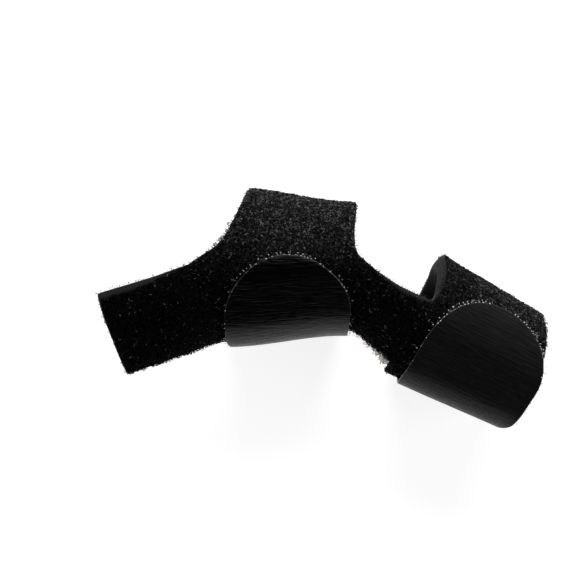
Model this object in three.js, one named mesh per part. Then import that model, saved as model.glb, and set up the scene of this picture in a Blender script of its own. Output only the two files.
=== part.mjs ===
import * as THREE from "three";

// Finger splint, in millimetres, lying on its outer side.
// X runs along the proximal loop to the fingertip, Y to the back of the finger, Z up.

// Walls and clearances
const FABRIC_THICKNESS = 2.8;
const TAPE_THICKNESS = 1.2;
const TAPE_CLEARANCE = 0.3;

// Lengths along the finger, from the cut end of the tail to the fingertip edge
const TAIL_LENGTH = 26.5;
const TAIL_BEND_LENGTH = 14;
const PROXIMAL_LENGTH = 25;
const BRIDGE_LENGTH = 18;
const DISTAL_LENGTH = 25.6;

// Bends of the finger in the splint's own plane, in degrees
const TAIL_BEND = 19;
const KNUCKLE_BEND = 25.5;

// Cross sections: how tall and deep the loops are, and how far the distal loop sinks to the palm side
const LOOP_TALL = 30;
const LOOP_DEEP = 28;
const KNUCKLE_DROP = 6.4;

// Flats: the lower side where the cloth lies on a surface, and the near side over the hidden stay
const REST_SHARE = 0.9;
const STAY_SHARE = 0.94;
const STAY_TILT = 24;
const FLAT_EASE = 0.5;

// How far round the finger the fabric reaches, in degrees from the palm side
const WING_END = 325;
const PALM_EDGE = 3;

// Lip: the distal wing's back edge stands off the finger
const LIP_HEIGHT = 0.4;
const LIP_LENGTH = 4;
const LIP_ANGLES = { start: 105, full: 125, fall: 195, end: 235 };

// Hook tape tabs
const TAPE_WIDTH = 25;
const TAPE_START = 250;
const PROXIMAL_TAB_END = 456;
const PROXIMAL_TIP_ROUND = 47;
const DISTAL_TAB_END = 489;
const DISTAL_TIP_ROUND = 56;
const DISTAL_TAB_SHIFT = 2.1;
const PROXIMAL_TAB_NARROWING = { back: 1, front: 0 };
const DISTAL_TAB_NARROWING = { back: 0.8, front: 1.8 };
const NARROWING_ANGLES = { full: 352, start: 392 };

// Places along the finger where one stretch ends and the next one starts
const PROXIMAL_START = TAIL_LENGTH;
const BRIDGE_START = PROXIMAL_START + PROXIMAL_LENGTH;
const DISTAL_START = BRIDGE_START + BRIDGE_LENGTH;
const TIP = DISTAL_START + DISTAL_LENGTH;

// Stretches of the middle line, each straight or one even bend
const STRETCHES = [
  { length: TAIL_LENGTH - TAIL_BEND_LENGTH, bend: 0 },
  { length: TAIL_BEND_LENGTH, bend: TAIL_BEND },
  { length: PROXIMAL_LENGTH, bend: 0 },
  { length: BRIDGE_LENGTH, bend: KNUCKLE_BEND },
  { length: DISTAL_LENGTH, bend: 0 },
];

// Cross sections, as shares of the loops' height and depth and of the drop past the knuckle
const SECTIONS = [
  { at: 0, tall: 1.02, deep: 1.0, drop: 0.74 },
  { at: TAIL_LENGTH / 2, tall: 1.04, deep: 1.0, drop: 0.55 },
  { at: PROXIMAL_START, tall: 1.06, deep: 1.0, drop: 0.05 },
  { at: BRIDGE_START, tall: 0.88, deep: 0.97, drop: 0.0 },
  { at: BRIDGE_START + BRIDGE_LENGTH / 2, tall: 0.9, deep: 0.96, drop: 0.5 },
  { at: DISTAL_START, tall: 0.885, deep: 0.95, drop: 1.02 },
  { at: TIP, tall: 0.79, deep: 0.88, drop: 1.02 },
];

// Edges of the strip that carries both loops, in degrees round the finger from the palm side
const STRIP = [
  { at: 0, low: 30, high: 105 },
  { at: TAIL_LENGTH / 2, low: 25, high: 99.5 },
  { at: PROXIMAL_START, low: 6, high: 93 },
  { at: BRIDGE_START, low: 8, high: 92 },
  { at: BRIDGE_START + BRIDGE_LENGTH / 2, low: 20, high: 93.5 },
  { at: DISTAL_START, low: 34, high: 105 },
  { at: TIP, low: 34, high: 105 },
];

// Edges of the wings, on the way round from the strip to the wing's end:
// back and front are shares of the loop's length, from its start and from its end
const PROXIMAL_WING = [
  { round: 0, back: -0.3, front: 0.2 },
  { round: 0.012, back: -0.17, front: 0.11 },
  { round: 0.03, back: -0.07, front: 0.045 },
  { round: 0.07, back: 0.0, front: 0.015 },
  { round: 0.13, back: 0.06, front: 0.01 },
  { round: 0.21, back: 0.113, front: 0.02 },
  { round: 0.32, back: 0.156, front: 0.03 },
  { round: 0.375, back: 0.2, front: 0.03 },
  { round: 0.45, back: 0.19, front: 0.03 },
  { round: 0.67, back: 0.02, front: 0.01 },
  { round: 1, back: 0, front: 0 },
];
const DISTAL_WING = [
  { round: 0, back: 0.02, front: 0 },
  { round: 0.03, back: 0.035, front: 0 },
  { round: 0.06, back: 0.04, front: -0.01 },
  { round: 0.12, back: 0.03, front: -0.03 },
  { round: 0.32, back: -0.02, front: -0.08 },
  { round: 0.65, back: 0.01, front: -0.02 },
  { round: 1, back: 0.02, front: 0 },
];
const DISTAL_PALM = [
  { round: 0, back: -0.08, front: 0 },
  { round: 0.5, back: -0.062, front: 0 },
  { round: 1, back: -0.035, front: 0 },
];

// Meshes: about how long a cell's sides are, and how much the wings' rows crowd at their roots
const CELL = 2;
const WING_CROWDING = 1.35;

const radians = THREE.MathUtils.degToRad;
const lerp = THREE.MathUtils.lerp;

// One column of a table, read between its rows without overshooting them
function read(rows, key, column, at) {
  const last = rows.length - 2;
  let i = rows.findIndex((row, k) => k === last || at < rows[k + 1][key]);
  i = Math.max(0, i);
  const rise = (k) => (rows[k + 1][column] - rows[k][column]) / (rows[k + 1][key] - rows[k][key]);
  const slope = (k) => {
    if (k === 0 || k > last) return rise(Math.min(k, last));
    const before = rise(k - 1);
    const after = rise(k);
    return before * after <= 0 ? 0 : (2 * before * after) / (before + after);
  };
  const span = rows[i + 1][key] - rows[i][key];
  const t = THREE.MathUtils.clamp((at - rows[i][key]) / span, 0, 1);
  const start = rows[i][column];
  const end = rows[i + 1][column];
  const curve = (2 * t - 3) * t * t;
  return (
    start * (1 + curve) - end * curve + span * t * (1 - t) * (slope(i) * (1 - t) - slope(i + 1) * t)
  );
}

// The middle line in the splint's plane: its place and heading after a length along it
function middle(along) {
  let heading = radians(TAIL_BEND);
  let x = 0;
  let y = 0;
  let left = along;
  STRETCHES.forEach(({ length, bend }, i) => {
    const beyond = i === STRETCHES.length - 1 || (i === 0 && left < 0);
    const part = beyond ? left : Math.min(left, length);
    const turn = (-radians(bend) * part) / length;
    const chord = turn ? (part * Math.sin(turn / 2)) / (turn / 2) : part;
    x += chord * Math.cos(heading + turn / 2);
    y += chord * Math.sin(heading + turn / 2);
    heading += turn;
    left -= part;
  });
  return { x, y, heading };
}

// Presses a section's point flat where it reaches past a plane, with an eased start
function press(point, direction, reach) {
  const height = point.dot(direction);
  const over = height - (reach - FLAT_EASE);
  if (over <= 0) return;
  const pressed = over < 2 * FLAT_EASE ? over - (over * over) / (4 * FLAT_EASE) : FLAT_EASE;
  point.addScaledVector(direction, reach - FLAT_EASE + pressed - height);
}

// The outer face of the fabric, after a length along the finger and an angle round it
function skin(along, angle) {
  const { x, y, heading } = middle(along);
  const tall = (LOOP_TALL / 2) * read(SECTIONS, "at", "tall", along);
  const deep = (LOOP_DEEP / 2) * read(SECTIONS, "at", "deep", along);
  const drop = KNUCKLE_DROP * read(SECTIONS, "at", "drop", along);
  const tilt = radians(STAY_TILT);
  const section = new THREE.Vector2(-tall * Math.cos(angle), deep * Math.sin(angle));
  const stay = new THREE.Vector2(-Math.sin(tilt), Math.cos(tilt));
  press(section, stay, STAY_SHARE * Math.hypot(tall * stay.x, deep * stay.y));
  press(section, new THREE.Vector2(0, -1), REST_SHARE * deep);
  const out = section.x - drop;
  return new THREE.Vector3(
    x - Math.sin(heading) * out,
    y + Math.cos(heading) * out,
    REST_SHARE * deep + section.y,
  );
}

// The strip's low or high edge, as an angle round the finger
function edgeAngle(column, along) {
  return radians(read(STRIP, "at", column, along));
}

// Where a wing's or a palm flap's edges lie, some way round
function wingEdges(table, start, length, round) {
  return {
    back: start + length * read(table, "round", "back", round),
    front: start + length * (1 + read(table, "round", "front", round)),
  };
}

// A point that stands off a face by a lift, square to that face
function lifted(face, along, angle, lift) {
  const step = 1e-3;
  const forward = face(along + step, angle).sub(face(along - step, angle));
  const round = face(along, angle + step).sub(face(along, angle - step));
  return face(along, angle).addScaledVector(forward.cross(round).normalize(), lift);
}

// The outer face of the brace: the skin, with the lip at the distal wing's back edge
function braceFace(along, angle) {
  const root = edgeAngle("high", DISTAL_START);
  const round = Math.max(0, (angle - root) / (radians(WING_END) - root));
  const { back } = wingEdges(DISTAL_WING, DISTAL_START, DISTAL_LENGTH, round);
  const nearness = Math.max(0, 1 - (along - back) / LIP_LENGTH);
  const degrees = THREE.MathUtils.radToDeg(angle);
  const { start, full, fall, end } = LIP_ANGLES;
  const rise = THREE.MathUtils.smoothstep(degrees, start, full);
  const decline = 1 - THREE.MathUtils.smoothstep(degrees, fall, end);
  const lip = nearness < 1.5 ? LIP_HEIGHT * nearness ** 2 * rise * decline : 0;
  return lip ? lifted(skin, along, angle, lip) : skin(along, angle);
}

// A sheet is a list of places on the skin and of the four-sided cells between them
function newSheet() {
  return { places: [], cells: [], known: new Map() };
}

function addPlace(sheet, along, angle) {
  const key = along.toFixed(6) + " " + angle.toFixed(6);
  if (!sheet.known.has(key)) {
    sheet.known.set(key, sheet.places.length);
    sheet.places.push({ along, angle });
  }
  return sheet.known.get(key);
}

function addPatch(sheet, columns, rows, place) {
  const grid = [];
  for (let i = 0; i <= columns; i++) {
    grid.push([]);
    for (let j = 0; j <= rows; j++) {
      const { along, angle } = place(i, j);
      grid[i].push(addPlace(sheet, along, angle));
    }
  }
  for (let i = 0; i < columns; i++)
    for (let j = 0; j < rows; j++)
      sheet.cells.push([grid[i][j], grid[i + 1][j], grid[i + 1][j + 1], grid[i][j + 1]]);
}

// Makes a closed wall of a sheet, between two lifts from a face
function thicken(face, sheet, inner, outer) {
  const count = sheet.places.length;
  const positions = [outer, inner].flatMap((lift) =>
    sheet.places.flatMap(({ along, angle }) => lifted(face, along, angle, lift).toArray()),
  );
  const faces = [];
  const rim = new Map();
  for (const cell of sheet.cells) {
    const [a, b, c, d] = cell;
    faces.push(a, b, c, a, c, d);
    faces.push(c + count, b + count, a + count, d + count, c + count, a + count);
    cell.forEach((from, k) => {
      const to = cell[(k + 1) % 4];
      if (!rim.delete(to + " " + from)) rim.set(from + " " + to, [from, to]);
    });
  }
  for (const [from, to] of rim.values()) faces.push(to, from, from + count, to, from + count, to + count);
  const geometry = new THREE.BufferGeometry();
  geometry.setAttribute("position", new THREE.Float32BufferAttribute(positions, 3));
  geometry.setIndex(faces);
  geometry.computeVertexNormals();
  return geometry;
}

// How many cells a length takes, and a turn round the loops between two angles
const cellsAlong = (length) => Math.max(2, Math.round(length / CELL));
const cellsRound = (from, to) => cellsAlong((radians(to - from) * LOOP_TALL) / 2);

// The strip's columns, as places along its low and its high edge, and the stretches they make up
function stripColumns() {
  const proximal = wingEdges(PROXIMAL_WING, PROXIMAL_START, PROXIMAL_LENGTH, 0);
  const distal = wingEdges(DISTAL_WING, DISTAL_START, DISTAL_LENGTH, 0);
  const palm = wingEdges(DISTAL_PALM, DISTAL_START, DISTAL_LENGTH, 0);
  const root = (proximal.front - proximal.back + PROXIMAL_LENGTH) / 2;
  const stops = [
    { low: 0, high: 0, cells: cellsAlong(proximal.back) },
    { low: proximal.back, high: proximal.back, cells: cellsAlong(root) },
    { low: proximal.front, high: proximal.front, cells: cellsAlong(palm.back - proximal.front) },
    { low: palm.back, high: distal.back, cells: cellsAlong(DISTAL_LENGTH) },
  ];
  const end = { low: palm.front, high: distal.front };
  const columns = [];
  stops.forEach(({ low, high, cells }, k) => {
    const next = stops[k + 1] ?? end;
    for (let i = 0; i < cells; i++)
      columns.push({ low: lerp(low, next.low, i / cells), high: lerp(high, next.high, i / cells) });
  });
  columns.push(end);
  const [tail, proximalCells, bridge, distalCells] = stops.map(({ cells }) => cells);
  return {
    columns,
    proximal: { first: tail, cells: proximalCells },
    distal: { first: tail + proximalCells + bridge, cells: distalCells },
  };
}

// The strip from the tail to the fingertip, with its two wings and the palm flap, in one sheet
function braceSheet() {
  const sheet = newSheet();
  const { columns, proximal, distal } = stripColumns();
  const rows = cellsRound(STRIP[0].low, STRIP[0].high);
  addPatch(sheet, columns.length - 1, rows, (i, j) => {
    const { low, high } = columns[i];
    return {
      along: lerp(low, high, j / rows),
      angle: lerp(edgeAngle("low", low), edgeAngle("high", high), j / rows),
    };
  });
  const wingRows = cellsRound(STRIP[0].high, WING_END);
  const wings = [
    { table: PROXIMAL_WING, start: PROXIMAL_START, length: PROXIMAL_LENGTH, stretch: proximal },
    { table: DISTAL_WING, start: DISTAL_START, length: DISTAL_LENGTH, stretch: distal },
  ];
  for (const { table, start, length, stretch } of wings)
    addPatch(sheet, stretch.cells, wingRows, (i, j) => {
      const round = (j / wingRows) ** WING_CROWDING;
      const { back, front } = wingEdges(table, start, length, round);
      const root = edgeAngle("high", columns[stretch.first + i].high);
      return {
        along: lerp(back, front, i / stretch.cells),
        angle: lerp(root, radians(WING_END), round),
      };
    });
  const palmRows = cellsRound(PALM_EDGE, STRIP[0].low);
  addPatch(sheet, distal.cells, palmRows, (i, j) => {
    const round = 1 - j / palmRows;
    const { back, front } = wingEdges(DISTAL_PALM, DISTAL_START, DISTAL_LENGTH, round);
    const root = edgeAngle("low", columns[distal.first + i].low);
    return {
      along: lerp(back, front, i / distal.cells),
      angle: lerp(root, radians(PALM_EDGE), round),
    };
  });
  return sheet;
}

// Where a tab's sides lie along the finger: it narrows a little towards its fixed end
function tabEdges({ centre, narrowing }, angle) {
  const { full, start } = NARROWING_ANGLES;
  const share = 1 - THREE.MathUtils.smoothstep(angle, full, start);
  return {
    back: centre - TAPE_WIDTH / 2 + narrowing.back * share,
    front: centre + TAPE_WIDTH / 2 - narrowing.front * share,
  };
}

// A tape tab: straight where it is fixed on the wing, round at its free end
function tabSheet(tab) {
  const { end, round } = tab;
  const sheet = newSheet();
  const columns = cellsAlong(TAPE_WIDTH);
  const rows = cellsRound(TAPE_START, end);
  addPatch(sheet, columns, rows, (i, j) => {
    const across = -Math.cos((Math.PI * i) / columns);
    const reach = end - round * (1 - Math.sqrt(Math.max(0, 1 - across * across)));
    const angle = lerp(TAPE_START, reach, j / rows);
    const { back, front } = tabEdges(tab, angle);
    return { along: lerp(back, front, (1 + across) / 2), angle: radians(angle) };
  });
  return sheet;
}

function piece(name, geometry, material) {
  const mesh = new THREE.Mesh(geometry, material);
  mesh.name = name;
  return mesh;
}

const fabric = new THREE.MeshStandardMaterial({ color: 0x101112, roughness: 0.95, metalness: 0 });
const tape = new THREE.MeshStandardMaterial({ color: 0x0c0c0e, roughness: 0.45, metalness: 0 });

const tapeFace = TAPE_CLEARANCE + TAPE_THICKNESS;
const tabs = [
  {
    name: "proximal_hook_tab",
    centre: PROXIMAL_START + PROXIMAL_LENGTH / 2,
    end: PROXIMAL_TAB_END,
    round: PROXIMAL_TIP_ROUND,
    narrowing: PROXIMAL_TAB_NARROWING,
  },
  {
    name: "distal_hook_tab",
    centre: DISTAL_START + DISTAL_LENGTH / 2 + DISTAL_TAB_SHIFT,
    end: DISTAL_TAB_END,
    round: DISTAL_TIP_ROUND,
    narrowing: DISTAL_TAB_NARROWING,
  },
];
const group = new THREE.Group();
group.add(piece("brace_body", thicken(braceFace, braceSheet(), -FABRIC_THICKNESS, 0), fabric));
for (const tab of tabs)
  group.add(piece(tab.name, thicken(skin, tabSheet(tab), TAPE_CLEARANCE, tapeFace), tape));

// The origin is under the middle of the splint, on the surface that it lies on
const box = new THREE.Box3().setFromObject(group);
const centre = box.getCenter(new THREE.Vector3());
group.position.set(-centre.x, -centre.y, -box.min.z);

export default group;
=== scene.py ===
# Looks of the finger splint: loop pile, foam edges and hook tape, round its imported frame.
# Sizes are in millimetres until a mesh is made, and angles are in degrees round the loops:
# 0 is the palm side, 90 the side that faces up, 180 the back, 270 the underside.

import math

import bpy
import numpy as np
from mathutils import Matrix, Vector


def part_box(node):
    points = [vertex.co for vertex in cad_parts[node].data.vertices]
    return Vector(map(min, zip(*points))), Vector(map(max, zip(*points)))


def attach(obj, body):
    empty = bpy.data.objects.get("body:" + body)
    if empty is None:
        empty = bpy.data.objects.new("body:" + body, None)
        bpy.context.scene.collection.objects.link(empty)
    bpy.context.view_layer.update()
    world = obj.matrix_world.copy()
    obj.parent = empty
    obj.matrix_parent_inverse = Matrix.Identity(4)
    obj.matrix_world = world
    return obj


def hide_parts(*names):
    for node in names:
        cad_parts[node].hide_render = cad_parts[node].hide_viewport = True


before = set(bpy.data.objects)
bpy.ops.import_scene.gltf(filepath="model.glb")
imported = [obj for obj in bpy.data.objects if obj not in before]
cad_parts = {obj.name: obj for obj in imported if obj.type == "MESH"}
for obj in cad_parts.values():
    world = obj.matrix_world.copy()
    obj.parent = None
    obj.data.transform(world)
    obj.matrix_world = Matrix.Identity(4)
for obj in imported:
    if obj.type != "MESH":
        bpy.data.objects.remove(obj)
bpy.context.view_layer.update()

MM = 0.001
SEED = 20

# Walls and clearances, as the solids have them
FABRIC_THICKNESS = 2.8
TAPE_THICKNESS = 1.2
TAPE_CLEARANCE = 0.3

# Lengths along the splint, from the cut end of the tail to the edge at the tip
TAIL_LENGTH = 26.5
TAIL_BEND_LENGTH = 14
PROXIMAL_LENGTH = 25
BRIDGE_LENGTH = 18
DISTAL_LENGTH = 25.6
PROXIMAL_START = TAIL_LENGTH
BRIDGE_START = PROXIMAL_START + PROXIMAL_LENGTH
DISTAL_START = BRIDGE_START + BRIDGE_LENGTH
TIP = DISTAL_START + DISTAL_LENGTH

# Bends and cross sections
TAIL_BEND = 19
KNUCKLE_BEND = 25.5
LOOP_TALL = 30
LOOP_DEEP = 28
KNUCKLE_DROP = 6.4
REST_SHARE = 0.9
STAY_SHARE = 0.94
STAY_TILT = 24
FLAT_EASE = 0.5

# How far round the loops the fabric and the tape reach
WING_END = 325
PALM_EDGE = 3
LIP_HEIGHT = 0.4
LIP_LENGTH = 4
LIP_START, LIP_FULL, LIP_FALL, LIP_END = 105, 125, 195, 235
LIP_OVERHANG = 0.5
TAPE_WIDTH = 25
TAPE_START = 250
DISTAL_TAB_SHIFT = 2.1
PROXIMAL_TAB = {
    "centre": PROXIMAL_START + PROXIMAL_LENGTH / 2,
    "end": 456,
    "round": 47,
    "back": 1,
    "front": 0,
}
DISTAL_TAB = {
    "centre": DISTAL_START + DISTAL_LENGTH / 2 + DISTAL_TAB_SHIFT,
    "end": 489,
    "round": 56,
    "back": 0.8,
    "front": 1.8,
}
NARROWING_FULL = 352
NARROWING_START = 392

# The visual meshes are finer than the solids, and have soft edges
CELL = 0.5
WING_CROWDING = 1.35
FOAM_EDGE_ROUND = 0.35
FOAM_EDGE_ROWS = 8
TAPE_BACKING = 0.5
TAPE_EDGE_ROUND = 0.12
TAPE_EDGE_ROWS = 4
EDGE_BULGE_POWER = 2.5

# The strip's upper edge is bare and rolled along the tail and before the distal wing:
# the widths of the bare bands, and the places along the splint where they fade
EDGE_ROLL = 0.5
BARE_TAIL = 1.3
BARE_TAIL_FADE = (7, 17)
BARE_BRIDGE = 0.8
BARE_BRIDGE_RISE = (DISTAL_START - 13, DISTAL_START - 6)
BARE_BRIDGE_FADE = (DISTAL_START - 2, DISTAL_START + 0.4)
BARE_LEAST_WIDTH = 0.3
BARE_FULL_WIDTH = 0.6
BARE_OVERHANG = 0.1

# Places nearer than a ten-thousandth are one; small steps along and round a face for its normals
PLACE_KEYS = 1e4
STEP_ALONG = 0.001
STEP_ROUND = 0.05
TINY = 1e-12

# The faces of a wall, in the order of its materials
OUTER_FACE, EDGE, INNER_FACE = 0, 1, 2


def table(names, *rows):
    """A short table with named columns."""
    return dict(zip(names.split(), np.array(rows, float).T))


# Stretches of the middle line, each straight or one even bend
STRETCHES = table(
    "length bend",
    (TAIL_LENGTH - TAIL_BEND_LENGTH, 0),
    (TAIL_BEND_LENGTH, TAIL_BEND),
    (PROXIMAL_LENGTH, 0),
    (BRIDGE_LENGTH, KNUCKLE_BEND),
    (DISTAL_LENGTH, 0),
)
SECTIONS = table(
    "at tall deep drop",
    (0, 1.02, 1.0, 0.74),
    (TAIL_LENGTH / 2, 1.04, 1.0, 0.55),
    (PROXIMAL_START, 1.06, 1.0, 0.05),
    (BRIDGE_START, 0.88, 0.97, 0.0),
    (BRIDGE_START + BRIDGE_LENGTH / 2, 0.9, 0.96, 0.5),
    (DISTAL_START, 0.885, 0.95, 1.02),
    (TIP, 0.79, 0.88, 1.02),
)
STRIP = table(
    "at low high",
    (0, 30, 105),
    (TAIL_LENGTH / 2, 25, 99.5),
    (PROXIMAL_START, 6, 93),
    (BRIDGE_START, 8, 92),
    (BRIDGE_START + BRIDGE_LENGTH / 2, 20, 93.5),
    (DISTAL_START, 34, 105),
    (TIP, 34, 105),
)
PROXIMAL_WING = table(
    "round back front",
    (0, -0.3, 0.2),
    (0.012, -0.17, 0.11),
    (0.03, -0.07, 0.045),
    (0.07, 0.0, 0.015),
    (0.13, 0.06, 0.01),
    (0.21, 0.113, 0.02),
    (0.32, 0.156, 0.03),
    (0.375, 0.2, 0.03),
    (0.45, 0.19, 0.03),
    (0.67, 0.02, 0.01),
    (1, 0, 0),
)
DISTAL_WING = table(
    "round back front",
    (0, 0.02, 0),
    (0.03, 0.035, 0),
    (0.06, 0.04, -0.01),
    (0.12, 0.03, -0.03),
    (0.32, -0.02, -0.08),
    (0.65, 0.01, -0.02),
    (1, 0.02, 0),
)
DISTAL_PALM = table("round back front", (0, -0.08, 0), (0.5, -0.062, 0), (1, -0.035, 0))

# How pale the pile is painted from the tail to the tip, on the strip and on the wings: painted
# shade darkens the tail, the strip and the bridge, painted light brightens the wings
PILE_PAINTED_LIGHT = table(
    "at strip wing",
    (0, 0.03, 0.03),
    (TAIL_LENGTH / 2, 0.08, 0.08),
    (PROXIMAL_START, 0.24, 0.85),
    (PROXIMAL_START + PROXIMAL_LENGTH / 2, 0.35, 1.0),
    (BRIDGE_START, 0.28, 0.95),
    (BRIDGE_START + BRIDGE_LENGTH / 2, 0.18, 0.3),
    (DISTAL_START, 0.14, 0.5),
    (DISTAL_START + DISTAL_LENGTH / 2, 0.3, 0.85),
    (TIP, 0.4, 0.8),
)
# The angles over which the pile's painted light goes over from the strip's to the wing's
WING_ROOT = (80, 118)

# The pile: closed tubes bent to small open loops, and the share of them that are pale to paint
# glints
PILE_PIECES = ["pile_tail", "pile_proximal", "pile_bridge", "pile_distal"]
PILE_STRANDS = 60000
PILE_UNDER_TAB = 1.2
PILE_BARE_LIMIT = 0.1
PILE = {
    "steps": 5,
    "lean": (-50, 50),
    "curl": (0.14, 0.36),
    "turn": (130, 280),
    "start": (-40, 30),
    "drift": 0.16,
    "height": (0.02, 0.3),
    "radius": 0.06,
    "thicker": 0.05,
    "glint_radius": 0.065,
    "glint_shade": (0.62, 1.0),
    "light_power": 0.6,
}
# Pale strands that paint glints: their share at most and at least, and how it rises with the
# painted light
PILE_GLINTS = {"most": 0.045, "least": 0.01, "rise": 0.25, "by_light": 0.09}

# Hooks along the tabs' round edges: short bright arches in two rows, coloured pale to paint the
# glints along the edges. From here on, the bends of single hooks and fibres are in radians.
EDGE_HOOKS = {
    "pitch": 0.72,
    "rows": (0.1, 0.62),
    "outer_share": 0.75,
    "off_row": 0.07,
    "along_row": 0.18,
    "level_until": 0.25,
    "fall": 0.7,
    "turn": 0.6,
    "size": (0.1, 0.26),
    "arch": 0.15,
    "steps": 6,
    "radius": (0.055, 0.095),
    # this shade range paints the glints: pale to near-white hooks
    "shade": (0.45, 1.3),
}

# How many of them show and how pale their painted glints are, by the way across the tab (-1 to 1)
# and the share of its length
PROXIMAL_HOOKS = {"top": 0.12, "spread": 0.4, "side": 0.3, "low": 0.05, "from": 0.6}
DISTAL_HOOKS = {
    "all": 0.35,
    "tipward": (0.0, 0.4),
    "rootward": (0.2, 0.5),
    "rootward_share": 0.7,
    "crown": (0.76, 0.86),
    "from": (0.52, 0.76),
}

# Hooks on the tabs' inner faces
INNER_HOOKS = {
    "pitch": 1.1,
    "border": 0.04,
    "first": 2,
    "last": 1,
    "shift": 0.12,
    "rise": 0.75,
    "crook": 2.3,
    "reach": 0.42,
    "sunk": 0.1,
    "steps": 5,
    "radius": 0.09,
    "shade": (0.05, 0.2),
}

# Loose fibres along the fabric's edges: how many to the millimetre and how long they are,
# in the stretch from start to end between two angles. Of two zones the later one counts:
# everywhere, the proximal wing's flare, the tail's low edge, the bridge's low edge.
FIBRE_ZONES = table(
    "count long start end low high",
    (2, 0.3, 0, TIP, 0, 360),
    (8, 0.45, PROXIMAL_START - 2, BRIDGE_START, 100, 122),
    (5, 0.3, TAIL_LENGTH * 0.45, PROXIMAL_START, 0, 60),
    (32, 1.0, BRIDGE_START - 1.5, DISTAL_START - 3.5, 0, 60),
)
BRIDGE_ZONE = 3
FIBRES = {
    "sunk": 0.2,
    "root": (-0.7, 0.2),
    "reach": (0.3, 2.2),
    "bow": 2.0,
    "rise": 0.5,
    "slide": 0.4,
    "curl": (0.2, 0.5),
    "curl_bend": 10,
    "rise_bend": 7,
    "steps": 14,
    "radius": 0.05,
    "bridge_radius": (0.06, 0.1),
    "shade_power": 0.3,
    "dark_shade": 0.2,
    "fade": 0.4,
    "fade_along": (BRIDGE_START + 2, DISTAL_START - 4),
}


# The brace's form, worked out as the solids are


def read(rows, key, column, at):
    """One column of a table, read between its rows without overshooting them."""
    keys, values = rows[key], rows[column]
    rise = np.diff(values) / np.diff(keys)
    both = rise[:-1] * rise[1:]
    total = np.where(both > 0, rise[:-1] + rise[1:], 1)
    slopes = np.concatenate([rise[:1], np.where(both > 0, 2 * both / total, 0), rise[-1:]])
    i = np.clip(np.searchsorted(keys, at, side="right") - 1, 0, len(keys) - 2)
    span = keys[i + 1] - keys[i]
    t = np.clip((at - keys[i]) / span, 0, 1)
    curve = (2 * t - 3) * t * t
    bend = slopes[i] * (1 - t) - slopes[i + 1] * t
    return values[i] * (1 + curve) - values[i + 1] * curve + span * t * (1 - t) * bend


def smoothstep(at, start, end):
    """Rises from 0 at the start to 1 at the end, with eased ends."""
    t = np.clip((at - start) / (end - start), 0, 1)
    return t * t * (3 - 2 * t)


def unit(vectors):
    """The same directions with a length of 1."""
    return vectors / np.maximum(np.linalg.norm(vectors, axis=-1, keepdims=True), TINY)


def middle(along):
    """The middle line in the splint's plane: its place and heading after a length along it."""
    heading = np.full(np.shape(along), math.radians(TAIL_BEND))
    x = np.zeros(np.shape(along))
    y = np.zeros(np.shape(along))
    left = np.array(along, float)
    last = len(STRETCHES["length"]) - 1
    for i, (length, bend) in enumerate(zip(STRETCHES["length"], STRETCHES["bend"])):
        part = left if i == last else np.minimum(left, length)
        turn = -math.radians(bend) * part / length
        chord = part * np.sinc(turn / (2 * np.pi))
        x = x + chord * np.cos(heading + turn / 2)
        y = y + chord * np.sin(heading + turn / 2)
        heading = heading + turn
        left = left - part
    return x, y, heading


def press(x, y, direction, reach):
    """Presses a section flat where it reaches past a plane, with an eased start."""
    height = x * direction[0] + y * direction[1]
    over = height - (reach - FLAT_EASE)
    eased = over - over**2 / (4 * FLAT_EASE)
    pressed = np.where(over < 2 * FLAT_EASE, eased, FLAT_EASE)
    change = np.where(over > 0, reach - FLAT_EASE + pressed - height, 0)
    return x + change * direction[0], y + change * direction[1]


def skin(along, angle):
    """The outer face of the fabric, after a length along the splint and an angle round it."""
    x, y, heading = middle(along)
    tall = LOOP_TALL / 2 * read(SECTIONS, "at", "tall", along)
    deep = LOOP_DEEP / 2 * read(SECTIONS, "at", "deep", along)
    drop = KNUCKLE_DROP * read(SECTIONS, "at", "drop", along)
    turn = np.radians(angle)
    stay = (-math.sin(math.radians(STAY_TILT)), math.cos(math.radians(STAY_TILT)))
    across, up = -tall * np.cos(turn), deep * np.sin(turn)
    across, up = press(across, up, stay, STAY_SHARE * np.hypot(tall * stay[0], deep * stay[1]))
    across, up = press(across, up, (0, -1), REST_SHARE * deep)
    out = across - drop
    return np.stack(
        [x - np.sin(heading) * out, y + np.cos(heading) * out, REST_SHARE * deep + up], axis=-1
    )


def edge_angle(column, along):
    """The strip's low or high edge, as an angle round the loops."""
    return read(STRIP, "at", column, along)


def wing_edges(rows, start, length, round_share):
    """Where a wing's or a palm flap's edges lie, some way round."""
    back = start + length * read(rows, "round", "back", round_share)
    front = start + length * (1 + read(rows, "round", "front", round_share))
    return back, front


def normals(face, along, angle):
    """The directions that point out of a face."""
    forward = face(along + STEP_ALONG, angle) - face(along - STEP_ALONG, angle)
    around = face(along, angle + STEP_ROUND) - face(along, angle - STEP_ROUND)
    return unit(np.cross(forward, around))


def lip(along, angle):
    """How far the distal wing's back edge stands off the skin."""
    root = edge_angle("high", DISTAL_START)
    share = np.maximum(0, (angle - root) / (WING_END - root))
    back, _ = wing_edges(DISTAL_WING, DISTAL_START, DISTAL_LENGTH, share)
    nearness = np.maximum(0, 1 - (along - back) / LIP_LENGTH)
    height = LIP_HEIGHT * nearness**2 * smoothstep(angle, LIP_START, LIP_FULL)
    height = height * (1 - smoothstep(angle, LIP_FALL, LIP_END))
    return np.where(nearness < 1 + LIP_OVERHANG, height, 0)


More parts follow.
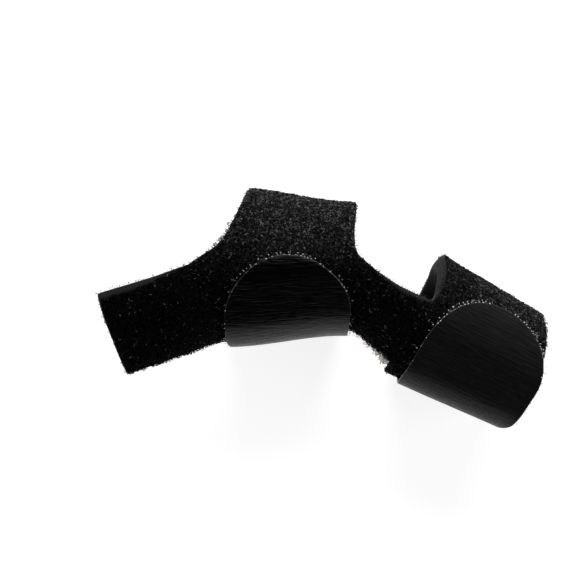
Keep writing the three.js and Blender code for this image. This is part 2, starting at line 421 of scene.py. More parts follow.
def bare_edge(along, angle):
    """How far a place lies inside the strip's bare, rolled upper edge: 1 at the edge, 0 past it."""
    width = BARE_TAIL * (1 - smoothstep(along, *BARE_TAIL_FADE))
    width = width + BARE_BRIDGE * smoothstep(along, *BARE_BRIDGE_RISE)
    width = width * (1 - smoothstep(along, *BARE_BRIDGE_FADE))
    inward = np.radians(edge_angle("high", along) - angle) * LOOP_TALL / 2
    share = np.clip(1 - inward / np.maximum(width, BARE_LEAST_WIDTH), 0, 1)
    share = share * np.minimum(1, width / BARE_FULL_WIDTH)
    return np.where(inward > -BARE_OVERHANG, share, 0)


def painted_pile_light(along, angle):
    """The painted light and shade on the pile at a place: the strip's, going over to the wing's
    round the wing root.
    """
    strip = read(PILE_PAINTED_LIGHT, "at", "strip", along)
    wing = read(PILE_PAINTED_LIGHT, "at", "wing", along)
    return strip + (wing - strip) * smoothstep(angle, *WING_ROOT)


def brace_face(along, angle):
    """The outer face of the brace: the skin, with the lip at the distal wing's back edge."""
    height = lip(along, angle)
    return skin(along, angle) + height[..., None] * normals(skin, along, angle)


# Sheets of places on the skin, and closed meshes made of them


def cells_along(length):
    """How many cells a length takes."""
    return max(2, round(length / CELL))


def cells_round(start, end):
    """How many cells a turn round the loops takes, between two angles."""
    return cells_along(math.radians(end - start) * LOOP_TALL / 2)


def join_patches(patches):
    """One sheet of places (along, angle) and four-sided cells, from grids that share edges."""
    places = np.concatenate([patch.reshape(-1, 2) for patch in patches])
    keys = np.round(places * PLACE_KEYS).astype(np.int64)
    _, first, index = np.unique(keys, axis=0, return_index=True, return_inverse=True)
    index = index.reshape(-1)
    cells = []
    start = 0
    for patch in patches:
        columns, rows = patch.shape[:2]
        grid = index[start : start + columns * rows].reshape(columns, rows)
        corners = [grid[:-1, :-1], grid[1:, :-1], grid[1:, 1:], grid[:-1, 1:]]
        cells.append(np.stack(corners, axis=-1).reshape(-1, 4))
        start += columns * rows
    return places[first], np.concatenate(cells)


def brace_sheet():
    """The strip from the tail to the tip, with its two wings and the palm flap."""
    proximal_back, proximal_front = wing_edges(PROXIMAL_WING, PROXIMAL_START, PROXIMAL_LENGTH, 0)
    distal_back, distal_front = wing_edges(DISTAL_WING, DISTAL_START, DISTAL_LENGTH, 0)
    palm_back, palm_front = wing_edges(DISTAL_PALM, DISTAL_START, DISTAL_LENGTH, 0)
    low_stops = [0, proximal_back, proximal_front, palm_back, palm_front]
    high_stops = [0, proximal_back, proximal_front, distal_back, distal_front]
    counts = [
        cells_along(proximal_back),
        cells_along((proximal_front - proximal_back + PROXIMAL_LENGTH) / 2),
        cells_along(palm_back - proximal_front),
        cells_along(DISTAL_LENGTH),
    ]
    ends = np.cumsum([0] + counts)
    columns = np.arange(ends[-1] + 1)
    low = np.interp(columns, ends, low_stops)
    high = np.interp(columns, ends, high_stops)
    share = np.linspace(0, 1, cells_round(STRIP["low"][0], STRIP["high"][0]) + 1)
    low_angle, high_angle = edge_angle("low", low), edge_angle("high", high)
    along = low[:, None] + (high - low)[:, None] * share
    angle = low_angle[:, None] + (high_angle - low_angle)[:, None] * share
    patches = [np.stack([along, angle], axis=-1)]

    rows = cells_round(STRIP["high"][0], WING_END)
    wing_share = np.linspace(0, 1, rows + 1) ** WING_CROWDING
    wings = [
        (PROXIMAL_WING, PROXIMAL_START, PROXIMAL_LENGTH, ends[1], counts[1]),
        (DISTAL_WING, DISTAL_START, DISTAL_LENGTH, ends[3], counts[3]),
    ]
    for rows_of, start, length, first, count in wings:
        back, front = wing_edges(rows_of, start, length, wing_share)
        root = high_angle[first : first + count + 1]
        along = back + (front - back) * np.linspace(0, 1, count + 1)[:, None]
        angle = root[:, None] + (WING_END - root)[:, None] * wing_share
        patches.append(np.stack([along, angle], axis=-1))

    palm_share = 1 - np.linspace(0, 1, cells_round(PALM_EDGE, STRIP["low"][0]) + 1)
    back, front = wing_edges(DISTAL_PALM, DISTAL_START, DISTAL_LENGTH, palm_share)
    root = low_angle[ends[3] :]
    along = back + (front - back) * np.linspace(0, 1, counts[3] + 1)[:, None]
    angle = root[:, None] + (PALM_EDGE - root)[:, None] * palm_share
    patches.append(np.stack([along, angle], axis=-1))
    return join_patches(patches)


def tab_reach(tab, across):
    """The angle that a tab reaches, from its middle (0) to its straight sides (-1 and 1)."""
    return tab["end"] - tab["round"] * (1 - np.sqrt(np.maximum(0, 1 - across**2)))


def tab_edges(tab, angle):
    """Where a tab's sides lie along the splint: it narrows a little towards its fixed end."""
    share = 1 - smoothstep(angle, NARROWING_FULL, NARROWING_START)
    back = tab["centre"] - TAPE_WIDTH / 2 + tab["back"] * share
    front = tab["centre"] + TAPE_WIDTH / 2 - tab["front"] * share
    return back, front


def tab_sheet(tab):
    """A tape tab: straight where it is fixed on the wing, round at its free end."""
    columns = cells_along(TAPE_WIDTH)
    rows = cells_round(TAPE_START, tab["end"])
    across = -np.cos(np.pi * np.arange(columns + 1) / columns)
    reach = tab_reach(tab, across)[:, None]
    angle = TAPE_START + (reach - TAPE_START) * np.linspace(0, 1, rows + 1)
    back, front = tab_edges(tab, angle)
    along = back + (front - back) * (1 + across[:, None]) / 2
    return join_patches([np.stack([along, angle], axis=-1)])


def rim_of(cells):
    """The places round a sheet's edge, in order, with the sheet on the left."""
    edges = np.concatenate([cells[:, [k, (k + 1) % 4]] for k in range(4)])
    known = set(map(tuple, edges.tolist()))
    following = {a: b for a, b in known if (b, a) not in known}
    loop = [min(following)]
    while following[loop[-1]] != loop[0]:
        loop.append(following[loop[-1]])
    return np.array(loop)


def outward_of(points, out, loop):
    """The directions that point away from a sheet at its edge, along its face."""
    chain = points[loop]
    ahead = unit(np.roll(chain, -1, axis=0) - chain)
    edge = unit(ahead + np.roll(ahead, 1, axis=0))
    return unit(np.cross(edge, out[loop]))


def thicken(sheet, face, outer, inner, edge_round, edge_rows):
    """A closed wall with soft edges: points, quads, places as UV, and which quads are what."""
    places, cells = sheet
    along, angle = places.T
    out = normals(face, along, angle)
    base = face(along, angle)
    loop = rim_of(cells)
    away = outward_of(base, out, loop)
    count = len(places)
    sunk = outer - EDGE_ROLL * bare_edge(along, angle) ** 2 * (face is brace_face)
    points = [base + sunk[:, None] * out, base + inner * out]
    rim_ids = [loop]
    for k in range(1, edge_rows):
        depth = (1 - math.cos(math.pi * k / edge_rows)) / 2
        bulge = edge_round * (1 - abs(2 * depth - 1) ** EDGE_BULGE_POWER) ** (1 / EDGE_BULGE_POWER)
        lift = sunk[loop] + (inner - sunk[loop]) * depth
        points.append(base[loop] + lift[:, None] * out[loop] + bulge * away)
        rim_ids.append(2 * count + (k - 1) * len(loop) + np.arange(len(loop)))
    rim_ids.append(loop + count)
    quads = [cells, cells[:, ::-1] + count]
    for upper, lower in zip(rim_ids[:-1], rim_ids[1:]):
        ahead_upper, ahead_lower = np.roll(upper, -1), np.roll(lower, -1)
        quads.append(np.stack([ahead_upper, upper, lower, ahead_lower], axis=-1))
    bare = bare_edge(*places[cells].mean(axis=1).T) > 0
    kinds = [
        np.where(bare & (face is brace_face), EDGE, OUTER_FACE),
        np.full(len(cells), INNER_FACE),
        np.full(len(loop) * edge_rows, EDGE),
    ]
    around = np.stack([along, np.radians(angle) * LOOP_TALL / 2], axis=-1)
    uv = np.concatenate([around, around] + [around[loop]] * (edge_rows - 1))
    return np.concatenate(points), np.concatenate(quads), uv, np.concatenate(kinds)


# Where the model's own axes lie in the frame


def frame_shift():
    """The way from the model's own axes to the frame's, from the brace's box in both."""
    places, _ = brace_sheet()
    out = normals(brace_face, *places.T)
    outer = brace_face(*places.T)
    own = np.concatenate([outer, outer - FABRIC_THICKNESS * out])
    low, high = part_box("brace_body")
    shift = (np.array(low) + np.array(high)) / (2 * MM) - (own.min(0) + own.max(0)) / 2
    shift[2] = low[2] / MM - own[:, 2].min()
    return shift


SHIFT = frame_shift()


def new_piece(name, points, faces, materials, uv=None, kinds=None, shade=None):
    """An object of one mesh, from arrays in millimetres."""
    mesh = bpy.data.meshes.new(name)
    mesh.vertices.add(len(points))
    mesh.vertices.foreach_set("co", ((points + SHIFT) * MM).astype(np.float32).ravel())
    mesh.loops.add(faces.size)
    mesh.loops.foreach_set("vertex_index", faces.astype(np.int32).ravel())
    mesh.polygons.add(len(faces))
    starts = np.arange(0, faces.size, faces.shape[1], dtype=np.int32)
    mesh.polygons.foreach_set("loop_start", starts)
    mesh.update(calc_edges=True)
    mesh.polygons.foreach_set("use_smooth", np.ones(len(faces), bool))
    if uv is not None:
        layer = mesh.uv_layers.new(name="UVMap")
        layer.data.foreach_set("uv", uv[faces.ravel()].astype(np.float32).ravel())
    if kinds is not None:
        mesh.polygons.foreach_set("material_index", kinds.astype(np.int32))
    if shade is not None:
        attribute = mesh.attributes.new("shade", "FLOAT", "POINT")
        attribute.data.foreach_set("value", shade.astype(np.float32))
    for material in materials:
        mesh.materials.append(material)
    piece = bpy.data.objects.new(name, mesh)
    bpy.context.scene.collection.objects.link(piece)
    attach(piece, "root")
    return piece


def tubes(paths, radius, across, sides=3):
    """Thin closed tubes with pointed ends: all points, all triangles, and the points of each."""
    count, steps = paths.shape[:2]
    ahead = unit(paths[:, 2:] - paths[:, :-2])
    side = unit(across[:, None] - ahead * np.sum(across[:, None] * ahead, axis=-1, keepdims=True))
    other = np.cross(ahead, side)
    turn = 2 * np.pi * np.arange(sides) / sides
    ring = (
        side[:, :, None] * np.cos(turn)[:, None] + other[:, :, None] * np.sin(turn)[:, None]
    ) * radius[:, None, None, None]
    rings = (paths[:, 1:-1, None] + ring).reshape(count, -1, 3)
    points = np.concatenate([paths[:, :1], rings, paths[:, -1:]], axis=1)
    following = (np.arange(sides) + 1) % sides
    triangles = [(0, 1 + following[s], 1 + s) for s in range(sides)]
    for k in range(steps - 3):
        here, there = 1 + k * sides, 1 + (k + 1) * sides
        for s in range(sides):
            triangles.append((here + s, here + following[s], there + following[s]))
            triangles.append((here + s, there + following[s], there + s))
    end = 1 + (steps - 3) * sides
    last = end + sides
    triangles += [(end + s, end + following[s], last) for s in range(sides)]
    starts = np.arange(count)[:, None, None] * (last + 1)
    return points.reshape(-1, 3), (np.array(triangles)[None] + starts).reshape(-1, 3), last + 1


# Materials


def new_material(name, roughness, specular=0.5, sheen=0.0):
    """A material and its shader, with the numbers that are the same all over."""
    material = bpy.data.materials.new(name)
    material.use_nodes = True
    shader = material.node_tree.nodes["Principled BSDF"]
    shader.inputs["Roughness"].default_value = roughness
    shader.inputs["Specular IOR Level"].default_value = specular
    shader.inputs["Sheen Weight"].default_value = sheen
    return material, shader


def add(material, kind, inputs=None, **settings):
    """A node with its settings and inputs: a link where the value is a socket, else a number."""
    node = material.node_tree.nodes.new(kind)
    for key, value in settings.items():
        setattr(node, key, value)
    for key, value in (inputs or {}).items():
        if isinstance(value, bpy.types.NodeSocket):
            material.node_tree.links.new(value, node.inputs[key])
        else:
            node.inputs[key].default_value = value
    return node


def connect(material, socket, shader, name):
    """Links a socket to one of the shader's inputs."""
    material.node_tree.links.new(socket, shader.inputs[name])


def ramp(material, factor, *stops):
    """A colour ramp of (position, colour) stops."""
    node = add(material, "ShaderNodeValToRGB", {"Fac": factor})
    elements = node.color_ramp.elements
    while len(elements) < len(stops):
        elements.new(0.5)
    for element, (position, colour) in zip(elements, stops):
        element.position = position
        element.color = (*colour, 1)
    return node.outputs["Color"]


def bump(material, shader, height, distance, strength=1.0):
    """Fine relief, from a height between 0 and 1 and its distance in metres."""
    inputs = {"Height": height, "Strength": strength, "Distance": distance}
    normal = add(material, "ShaderNodeBump", inputs).outputs["Normal"]
    connect(material, normal, shader, "Normal")


def object_noise(material, scale, detail=2.0):
    """Even noise all through a piece, with its scale in cells to the metre."""
    place = add(material, "ShaderNodeTexCoord").outputs["Object"]
    inputs = {"Vector": place, "Scale": scale, "Detail": detail}
    return add(material, "ShaderNodeTexNoise", inputs).outputs["Fac"]


def shade_of(material):
    """Each strand's own shade, or the ground's."""
    return add(material, "ShaderNodeAttribute", attribute_name="shade").outputs["Fac"]


def pile_material():
    """Nylon loops: near-black in random tones under the painted light and shade, with pale loops
    that paint glints, by each loop's shade.
    """
    material, shader = new_material("loop_pile", roughness=0.5, specular=0.08)
    colour = ramp(
        material,
        shade_of(material),
        (0.0, (0.0006, 0.0006, 0.0006)),
        (0.4, (0.01, 0.01, 0.0103)),
        (0.75, (0.06, 0.06, 0.062)),
        (1.0, (0.3, 0.3, 0.305)),
    )
    connect(material, colour, shader, "Base Color")
    return material


def ground_material():
    """The ground that the loops are knitted into: near-black grain, painted paler where the pile's
    painted light is paler and darker in its painted shade.
    """
    material, shader = new_material("loop_ground", roughness=0.95, specular=0.04)
    grain = object_noise(material, scale=1600, detail=3)
    inputs = {0: grain, 1: shade_of(material)}
    tone = add(material, "ShaderNodeMath", inputs, operation="MULTIPLY").outputs["Value"]
    colour = ramp(material, tone, (0.0, (0.0006, 0.0006, 0.0007)), (0.7, (0.018, 0.018, 0.0185)))
    connect(material, colour, shader, "Base Color")
    bump(material, shader, grain, distance=0.0002)
    return material


def foam_material():
    """The cut foam at the edges: blue-black and fine-pored."""
    material, shader = new_material("foam_edge", roughness=0.75, specular=0.25)
    tone = object_noise(material, scale=300)
    colour = ramp(material, tone, (0.3, (0.0014, 0.002, 0.0024)), (0.75, (0.0046, 0.0066, 0.0077)))
    connect(material, colour, shader, "Base Color")
    pores = object_noise(material, scale=4200)
    bump(material, shader, pores, distance=0.00005, strength=0.6)
    return material


def lining_material():
    """The smooth knit on the inside: fine ribs along the splint."""
    material, shader = new_material("inner_knit", roughness=0.7, specular=0.3, sheen=0.2)
    place = add(material, "ShaderNodeUVMap", uv_map="UVMap").outputs["UV"]
    ribs = add(
        material,
        "ShaderNodeTexWave",
        {"Vector": place, "Scale": 0.55, "Distortion": 1.2, "Detail": 1.0, "Detail Scale": 6.0},
        bands_direction="Y",
    ).outputs["Fac"]
    colour = ramp(material, ribs, (0.0, (0.004, 0.004, 0.0045)), (1.0, (0.014, 0.0145, 0.016)))
    connect(material, colour, shader, "Base Color")
    bump(material, shader, ribs, distance=0.00008, strength=0.8)
    return material


def tape_material(name, dark, pale, specular):
    """The satin back of the hook tape: fine streaks along the splint in tone, gloss and relief."""
    material, shader = new_material(name, roughness=0.3, specular=specular)
    place = add(material, "ShaderNodeUVMap", uv_map="UVMap").outputs["UV"]
    inputs = {"Vector": place, "Scale": (0.22, 2.8, 1.0)}
    stretched = add(material, "ShaderNodeMapping", inputs).outputs["Vector"]
    inputs = {"Vector": stretched, "Scale": 1.0, "Detail": 3.0}
    streaks = add(material, "ShaderNodeTexNoise", inputs).outputs["Fac"]
    tone = ramp(material, streaks, (0.36, dark), (0.66, pale))
    connect(material, tone, shader, "Base Color")
    inputs = {"Value": streaks, "From Min": 0.38, "From Max": 0.62, "To Min": 0.24, "To Max": 0.42}
    roughness = add(material, "ShaderNodeMapRange", inputs).outputs["Result"]
    connect(material, roughness, shader, "Roughness")
    bump(material, shader, streaks, distance=0.0004, strength=0.6)
    return material


def hook_material():
    """Moulded hooks of clear nylon: dark by their own shade on the inner faces, with pale shades
    that paint white glints on the edge hooks.
    """
    material, shader = new_material("nylon_hooks", roughness=0.25, specular=0.6)
    colour = ramp(
        material,
        shade_of(material),
        (0.0, (0.02, 0.02, 0.02)),
        (0.4, (0.2, 0.2, 0.2)),
        (0.8, (0.9, 0.9, 0.9)),
    )
    connect(material, colour, shader, "Base Color")
    return material


def edge_highlight_material():
    """The cut edge of the tape: dark thread ends, some of them paler; the pale patches also paint
    the highlight that the edge catches.
    """
    material, shader = new_material("tape_edge_painted_highlight", roughness=0.4, specular=0.3)
    tone = object_noise(material, scale=1100)
    colour = ramp(material, tone, (0.45, (0.008, 0.008, 0.0083)), (0.68, (0.11, 0.11, 0.115)))
    connect(material, colour, shader, "Base Color")
    return material


def fibre_material():
    """Thin nylon: its own colour, given off again as a painted glow that brightens the fibres as if
    the bright ground shone through them.
    """
    material, shader = new_material("loose_fibres_painted_glow", roughness=0.5, specular=0.4)
    # The painted glow: the fibres' colour is given off as light
    shader.inputs["Emission Strength"].default_value = 1.0
    colour = ramp(
        material,
        shade_of(material),
        (0.0, (0.008, 0.008, 0.008)),
        (0.35, (0.05, 0.047, 0.045)),
        (1.0, (0.75, 0.7, 0.67)),
    )
    connect(material, colour, shader, "Base Color")
    connect(material, colour, shader, "Emission Color")
    return material


# The pieces


def make_brace():
    """The pile fabric with its foam edges and its lining."""
    sheet = brace_sheet()
    wall = thicken(sheet, brace_face, 0, -FABRIC_THICKNESS, FOAM_EDGE_ROUND, FOAM_EDGE_ROWS)
    points, quads, uv, kinds = wall
    materials = [ground_material(), foam_material(), lining_material()]
    # The pile's painted light and shade, given to the ground as its shade
    light = painted_pile_light(uv[:, 0], np.degrees(uv[:, 1]) / (LOOP_TALL / 2))
    piece = new_piece("brace_fabric", points, quads, materials, uv, kinds, light)
    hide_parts("brace_body")
    return piece, sheet


def make_tab(name, node, tab, material, edge):
    """The backing of a hook tape tab: a thin band over the pile."""
    sheet = tab_sheet(tab)
    outer = TAPE_CLEARANCE + TAPE_THICKNESS
    wall = thicken(sheet, skin, outer, outer - TAPE_BACKING, TAPE_EDGE_ROUND, TAPE_EDGE_ROWS)
    points, quads, uv, kinds = wall
    piece = new_piece(name, points, quads, [material, edge, material], uv, kinds)
    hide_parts(node)
    return piece, sheet


def under_tab(tab, along, angle, margin):
    """Whether a place lies under a tab, further in than a margin in millimetres."""
    turn = np.where(angle < TAPE_START, angle + 360, angle)
    back, front = tab_edges(tab, turn)
    across = np.clip(2 * (along - back) / (front - back) - 1, -1, 1)
    ease = math.degrees(margin / (LOOP_TALL / 2))
    inside = (along > back + margin) & (along < front - margin)
    return inside & (turn > TAPE_START + ease) & (turn < tab_reach(tab, across) - ease)


def scatter(sheet, face, count, rng):
    """Random places on a sheet, as many to each area."""
    places, cells = sheet
    points = face(*places.T)
    a, b, c, d = (points[cells[:, k]] for k in range(4))
    area = np.linalg.norm(np.cross(c - a, d - b), axis=1) / 2
    chosen = rng.choice(len(cells), count, p=area / area.sum())
    u, v = rng.random((2, count, 1))
    corners = places[cells[chosen]]
    low = corners[:, 0] * (1 - u) + corners[:, 1] * u
    high = corners[:, 3] * (1 - u) + corners[:, 2] * u
    return (low * (1 - v) + high * v).T


def tangents(out, rng):
    """A random direction in each face."""
    return unit(np.cross(out, rng.normal(size=out.shape)))


def make_pile(sheet):
    """The loop pile on the outer face, but not under the tabs or on the bare edges."""
    rng = np.random.default_rng(SEED)
    count = PILE_STRANDS // 1
    along, angle = scatter(sheet, brace_face, count, rng)
    left_out = bare_edge(along, angle) > PILE_BARE_LIMIT
    for tab in (PROXIMAL_TAB, DISTAL_TAB):
        left_out |= under_tab(tab, along, angle, PILE_UNDER_TAB)
    along, angle = along[~left_out], angle[~left_out]
    order = np.argsort(along)
    material = pile_material()
    pieces = []
    for name, chosen in zip(PILE_PIECES, np.array_split(order, len(PILE_PIECES))):
        piece = make_strands(name, along[chosen], angle[chosen], material, rng)
        pieces.append(piece)
    return pieces


def make_strands(name, along, angle, material, rng):
    """One piece of the pile: a part of a loop at each place, leaning and turned at random."""
    count = len(along)
    steps = PILE["steps"]
    out = normals(brace_face, along, angle)
    root = brace_face(along, angle)
    flat = tangents(out, rng)
    across = np.cross(out, flat)
    lean = np.radians(rng.uniform(*PILE["lean"], count))[:, None]
    up = out * np.cos(lean) + across * np.sin(lean)
    curl = rng.uniform(*PILE["curl"], count)
    turn = np.radians(rng.uniform(*PILE["turn"], count))
    start = np.radians(rng.uniform(*PILE["start"], count))
    phase = start[:, None] + turn[:, None] * np.linspace(0, 1, steps)
    drift = rng.normal(0, PILE["drift"], count)[:, None] * np.linspace(-1, 1, steps)
    height = rng.uniform(*PILE["height"], count)[:, None] + curl[:, None] * np.sin(phase)
    paths = (
        root[:, None]
        + up[:, None] * height[..., None]
        + flat[:, None] * (curl[:, None] * np.cos(phase))[..., None]
        + across[:, None] * drift[..., None]
    )
    # Painted light and shade along the splint; pale strands paint glints, more of them where the
    # painted light is paler
    light = painted_pile_light(along, angle)
    chance = np.minimum(PILE_GLINTS["most"], PILE_GLINTS["least"] + PILE_GLINTS["rise"] * light)
    glint = rng.random(count) < chance + PILE_GLINTS["by_light"] * light
    tone = rng.random(count)
    dull_radius = PILE["radius"] + PILE["thicker"] * (1 - tone)
    radius = np.where(glint, PILE["glint_radius"], dull_radius)
    points, faces, each = tubes(paths, radius, np.cross(up, flat))
    bright = rng.uniform(*PILE["glint_shade"], count)
    shade = np.where(glint, bright, tone * light ** PILE["light_power"])
    return new_piece(name, points, faces, [material], shade=np.repeat(shade, each))


def edge_places(sheet, face, lift):
    """A sheet's edge in order: places, points, directions out of the face and away from it."""
    places, cells = sheet
    loop = rim_of(cells)
    base = face(*places.T)
    out = normals(face, *places.T)
    away = outward_of(base, out, loop)
    return places[loop], base[loop] + lift * out[loop], out[loop], away


def proximal_hook_glints(across, share):
    """How many hooks show along the proximal tab's edge, and how pale their painted glints are:
    most on the top of its dome.
    """
    top = np.exp(-(((across - PROXIMAL_HOOKS["top"]) / PROXIMAL_HOOKS["spread"]) ** 2))
    side = PROXIMAL_HOOKS["side"]
    return np.where(share > PROXIMAL_HOOKS["from"], side + (1 - side) * top, PROXIMAL_HOOKS["low"])


def distal_hook_glints(across, share):
    """How many hooks show along the distal tab's edge, and how pale their painted glints are: most
    towards the tip.
    """
    tipward = smoothstep(across, *DISTAL_HOOKS["tipward"])
    rootward = DISTAL_HOOKS["rootward_share"] * smoothstep(-across, *DISTAL_HOOKS["rootward"])
    rootward = rootward * smoothstep(share, *DISTAL_HOOKS["crown"])
    shown = np.clip(DISTAL_HOOKS["all"] + tipward + rootward, 0, 1)
    return shown * smoothstep(share, *DISTAL_HOOKS["from"])


def make_edge_hooks(name, sheet, tab, material, bright, rng):
    """Hooks along a tab's round edge: one row at the tape's edge and one further out."""
    places, points, out, away = edge_places(sheet, skin, TAPE_CLEARANCE + TAPE_THICKNESS)
    edge = np.cross(out, away)
    back, front = tab_edges(tab, places[:, 1])
    across = 2 * (places[:, 0] - back) / (front - back) - 1
    weight = bright(across, (places[:, 1] - TAPE_START) / (tab["end"] - TAPE_START))
    step = np.linalg.norm(np.roll(points, -1, axis=0) - points, axis=1)
    run = np.cumsum(step)
    spots = np.arange(0, run[-1], EDGE_HOOKS["pitch"])
    both_rows = np.concatenate([spots, spots + EDGE_HOOKS["pitch"] / 2])
    chosen = np.minimum(np.searchsorted(run, both_rows), len(run) - 1)
    outer_row = np.repeat([False, True], len(spots))
    chance = weight[chosen] * np.where(outer_row, EDGE_HOOKS["outer_share"], 1.0)
    shown = rng.random(len(chosen)) < chance
    chosen, outer_row = chosen[shown], outer_row[shown]
    out, away, edge = out[chosen], away[chosen], edge[chosen]
    count = len(chosen)
    inner_offset, outer_offset = EDGE_HOOKS["rows"]
    offset = np.where(outer_row, outer_offset, inner_offset)[:, None]
    offset = offset + rng.normal(0, EDGE_HOOKS["off_row"], (count, 1))
    slide = rng.normal(0, EDGE_HOOKS["along_row"], (count, 1))
    root = points[chosen] + edge * slide + away * offset
    root = root - out * np.maximum(0, EDGE_HOOKS["fall"] * (offset - EDGE_HOOKS["level_until"]))
    way = rng.normal(0, EDGE_HOOKS["turn"], (count, 1))
    way = way + np.where(outer_row, np.pi / 2, 0)[:, None]
    lie = edge * np.cos(way) + away * np.sin(way)
    size = rng.uniform(*EDGE_HOOKS["size"], (count, 1))
    t = np.linspace(-1, 1, EDGE_HOOKS["steps"])[:, None]
    drop = out[:, None] * (EDGE_HOOKS["arch"] * t**2)
    paths = root[:, None] + lie[:, None] * (size[:, None] * t) - drop
    radius = rng.uniform(*EDGE_HOOKS["radius"], count)
    points, faces, each = tubes(paths, radius, out, sides=4)
    # Painted glints: pale shades, paler where more hooks show
    shade = rng.uniform(*EDGE_HOOKS["shade"], count) * (1 + weight[chosen]) / 2
    shade = np.clip(shade, 0, 1)
    piece = new_piece(name, points, faces, [material], shade=np.repeat(shade, each))
    return piece


def make_hook_field(name, tab, material, rng):
    """The hooks all over a tab's inner face."""
    pitch = INNER_HOOKS["pitch"]
    first, last = INNER_HOOKS["first"], INNER_HOOKS["last"]
    side = 1 - INNER_HOOKS["border"]
    columns = np.linspace(-side, side, round(TAPE_WIDTH / pitch))
    turn_pitch = math.degrees(pitch / (LOOP_TALL / 2))
    turns = np.arange(TAPE_START + first, tab["end"] - last, turn_pitch)
    across, angle = (grid.ravel() for grid in np.meshgrid(columns, turns))
    inside = angle < tab_reach(tab, across) - last
    across, angle = across[inside], angle[inside]
    back, front = tab_edges(tab, angle)
    along = back + (front - back) * (1 + across) / 2
    count = len(along)
    along = along + rng.uniform(-INNER_HOOKS["shift"], INNER_HOOKS["shift"], count)
    out = normals(skin, along, angle)
    forward = unit(skin(along + STEP_ALONG, angle) - skin(along - STEP_ALONG, angle))
    way = np.where(rng.random(count) < 0.5, -1.0, 1.0)[:, None]
    lift = TAPE_CLEARANCE + TAPE_THICKNESS - TAPE_BACKING + INNER_HOOKS["sunk"]
    root = skin(along, angle) + out * lift
    t = np.linspace(0, 1, INNER_HOOKS["steps"])[:, None]
    rise = INNER_HOOKS["rise"] * np.sin(INNER_HOOKS["crook"] * t)
    reach = INNER_HOOKS["reach"] * t**1.5
    paths = root[:, None] - out[:, None] * rise + (forward * way)[:, None] * reach
    radius = np.full(count, INNER_HOOKS["radius"])
    points, faces, each = tubes(paths, radius, np.cross(out, forward), sides=4)
    shade = rng.uniform(*INNER_HOOKS["shade"], count)
    piece = new_piece(name, points, faces, [material], shade=np.repeat(shade, each))
    return piece


def fibre_zones(along, angle):
    """Which row of the fibre zones each place of the edge belongs to."""
    zone = np.zeros(len(along), int)
    rows = zip(*(FIBRE_ZONES[column] for column in ("start", "end", "low", "high")))
    for row, (start, end, low, high) in enumerate(rows):
        zone[(along > start) & (along < end) & (angle > low) & (angle < high)] = row
    return zone


def make_fuzz(sheet, material, rng):
    """Loose fibres along the fabric's edges, thickest under the bridge between the tabs."""
    places, points, out, away = edge_places(sheet, brace_face, -FIBRES["sunk"])
    zone = fibre_zones(*places.T)
    step = np.linalg.norm(np.roll(points, -1, axis=0) - points, axis=1)
    chance = FIBRE_ZONES["count"][zone] * step
    count = int(chance.sum())
    chosen = rng.choice(len(points), count, p=chance / chance.sum())
    out, away = out[chosen], away[chosen]
    edge = np.cross(out, away)
    bridge = zone[chosen] == BRIDGE_ZONE
    long = FIBRE_ZONES["long"][zone[chosen]][:, None]
    root = points[chosen] + out * rng.uniform(*FIBRES["root"], (count, 1))
    reach = rng.uniform(*FIBRES["reach"], (count, 1)) * long
    rise = rng.normal(0, FIBRES["rise"], (count, 1)) * long
    slide = rng.normal(0, FIBRES["slide"], (count, 1)) * long
    wave = rng.uniform(0, 2 * np.pi, (count, 1, 1))
    curl = rng.uniform(*FIBRES["curl"], (count, 1, 1)) * long[:, None]
    t = np.linspace(0, 1, FIBRES["steps"])[:, None]
    curling = wave + t * FIBRES["curl_bend"]
    rising = 2 * wave + t * FIBRES["rise_bend"]
    bowed = reach[:, None] * np.sin(t * FIBRES["bow"])
    paths = (
        root[:, None]
        + away[:, None] * (bowed + curl * np.sin(curling) * t)
        + out[:, None] * (rise[:, None] * t + curl * np.sin(rising) * t)
        + edge[:, None] * (slide[:, None] * t + curl * np.cos(curling) * t)
    )
    radius = np.where(bridge, rng.uniform(*FIBRES["bridge_radius"], count), FIBRES["radius"])
    points, faces, each = tubes(paths, radius, edge)
    paleness = 1 - FIBRES["fade"] * smoothstep(places[chosen, 0], *FIBRES["fade_along"])
    shade = rng.random(count) ** FIBRES["shade_power"]
    shade = shade * np.where(bridge, paleness, FIBRES["dark_shade"])
    piece = new_piece("edge_fibres", points, faces, [material], shade=np.repeat(shade, each))
    return piece


# The stage, in metres

FLOOR_HALF = 3.0
FLOOR_GAP = 0.0002
FLOOR_GREY = 0.5
FLOOR_GLOW = 0.85

# The world is bright at the horizon and dark above it: height of the direction, brightness
HORIZON = (0.01, 0.8)
OVERHEAD = (0.12, 0.012)

LIGHTS = {
    "key": {"place": (0.1, 0.75, 0.45), "size": (0.5, 0.4), "power": 6.0},
    "left": {"place": (-0.8, 0.0, 0.4), "size": (0.5, 0.5), "power": 1.6},
    "right": {"place": (0.8, 0.0, 0.4), "size": (0.5, 0.5), "power": 2.2},
}
LIGHT_TARGET = (0, 0, 0.014)


def make_floor():
    """A pale floor just under the splint, with a glow that keeps it near white."""
    corners = [(-1, -1), (1, -1), (1, 1), (-1, 1)]
    places = [(x * FLOOR_HALF, y * FLOOR_HALF, 0) for x, y in corners]
    mesh = bpy.data.meshes.new("floor")
    mesh.from_pydata(places, [], [(0, 1, 2, 3)])
    floor = bpy.data.objects.new("floor", mesh)
    bpy.context.scene.collection.objects.link(floor)
    floor.location.z = -FLOOR_GAP
    material, shader = new_material("pale_floor", roughness=0.8, specular=0.2)
    shader.inputs["Base Color"].default_value = (FLOOR_GREY, FLOOR_GREY, FLOOR_GREY, 1)
    shader.inputs["Emission Color"].default_value = (1, 1, 1, 1)
    shader.inputs["Emission Strength"].default_value = FLOOR_GLOW
    mesh.materials.append(material)


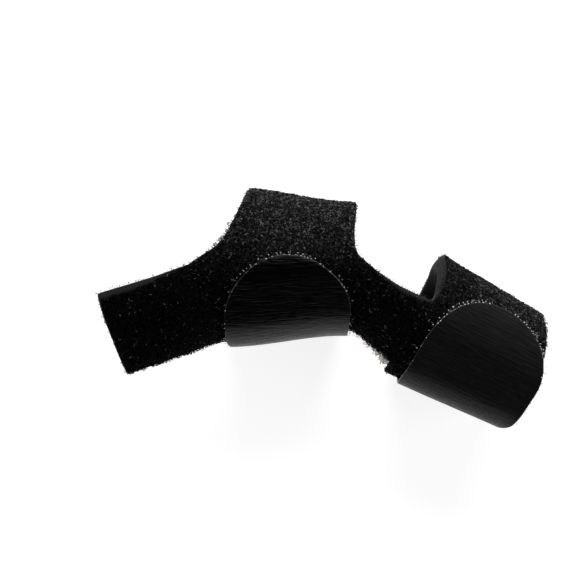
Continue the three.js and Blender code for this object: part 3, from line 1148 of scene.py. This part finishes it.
def add_light(name, place, size, power):
    """A rectangular light that points at the middle of the splint."""
    light = bpy.data.lights.new(name, "AREA")
    light.shape = "RECTANGLE"
    light.size, light.size_y = size
    light.energy = power
    lamp = bpy.data.objects.new(name, light)
    bpy.context.scene.collection.objects.link(lamp)
    lamp.location = place
    lamp.rotation_euler = (Vector(LIGHT_TARGET) - Vector(place)).to_track_quat("-Z", "Y").to_euler()


def make_lights():
    """The world, the three lights and a view that shows colours as they are."""
    world = bpy.data.worlds.new("studio")
    bpy.context.scene.world = world
    world.use_nodes = True
    tree = world.node_tree
    background = tree.nodes["Background"]
    background.inputs["Strength"].default_value = 1.0
    direction = tree.nodes.new("ShaderNodeTexCoord").outputs["Generated"]
    split = tree.nodes.new("ShaderNodeSeparateXYZ")
    tree.links.new(direction, split.inputs["Vector"])
    sky = tree.nodes.new("ShaderNodeValToRGB")
    tree.links.new(split.outputs["Z"], sky.inputs["Fac"])
    tree.links.new(sky.outputs["Color"], background.inputs["Color"])
    for stop, (height, brightness) in zip(sky.color_ramp.elements, (HORIZON, OVERHEAD)):
        stop.position = height
        stop.color = (brightness, brightness, brightness, 1)
    bpy.context.scene.view_settings.view_transform = "Standard"
    for name, light in LIGHTS.items():
        add_light(name, light["place"], light["size"], light["power"])


# The camera looks straight down, and its lens gives the photograph's scale at mid height.
# Places and heights are in millimetres, and the sensor is too.
CAMERA_PLACE = (-7.5, 3.5)
CAMERA_HEIGHT = 230
CAMERA_ROLL = 1.6
PHOTO_SIZE = 580
SENSOR = 36
PIXELS_PER_MM = 4.75
MIDDLE_HEIGHT = 14.7


def make_camera():
    """The camera over the splint, turned by the photograph's small roll."""
    data = bpy.data.cameras.new("camera")
    data.sensor_width = SENSOR
    data.sensor_fit = "HORIZONTAL"
    data.lens = PIXELS_PER_MM * CAMERA_HEIGHT * SENSOR / PHOTO_SIZE
    data.clip_start = 0.01
    camera = bpy.data.objects.new("camera", data)
    bpy.context.scene.collection.objects.link(camera)
    x, y = CAMERA_PLACE
    camera.location = (x * MM, y * MM, (MIDDLE_HEIGHT + CAMERA_HEIGHT) * MM)
    camera.rotation_euler = (0, 0, math.radians(CAMERA_ROLL))
    bpy.context.scene.camera = camera


def main():
    """Makes the stage and all pieces."""
    make_camera()
    make_lights()
    make_floor()
    brace, sheet = make_brace()
    pile = make_pile(sheet)
    rng = np.random.default_rng(SEED + 1)
    fibres = make_fuzz(sheet, fibre_material(), rng)
    edge = edge_highlight_material()
    hooks = hook_material()
    black = tape_material(
        "proximal_tape", (0.0008, 0.0005, 0.0006), (0.0026, 0.002, 0.0021), specular=0.12
    )
    brown = tape_material(
        "distal_tape", (0.0088, 0.0081, 0.0082), (0.0165, 0.0152, 0.0153), specular=0.04
    )
    for name, tab, material, bright in (
        ("proximal", PROXIMAL_TAB, black, proximal_hook_glints),
        ("distal", DISTAL_TAB, brown, distal_hook_glints),
    ):
        piece, tape = make_tab(name + "_tape", name + "_hook_tab", tab, material, edge)
        border = make_edge_hooks(name + "_edge_hooks", tape, tab, hooks, bright, rng)
        field = make_hook_field(name + "_hook_field", tab, hooks, rng)


main()
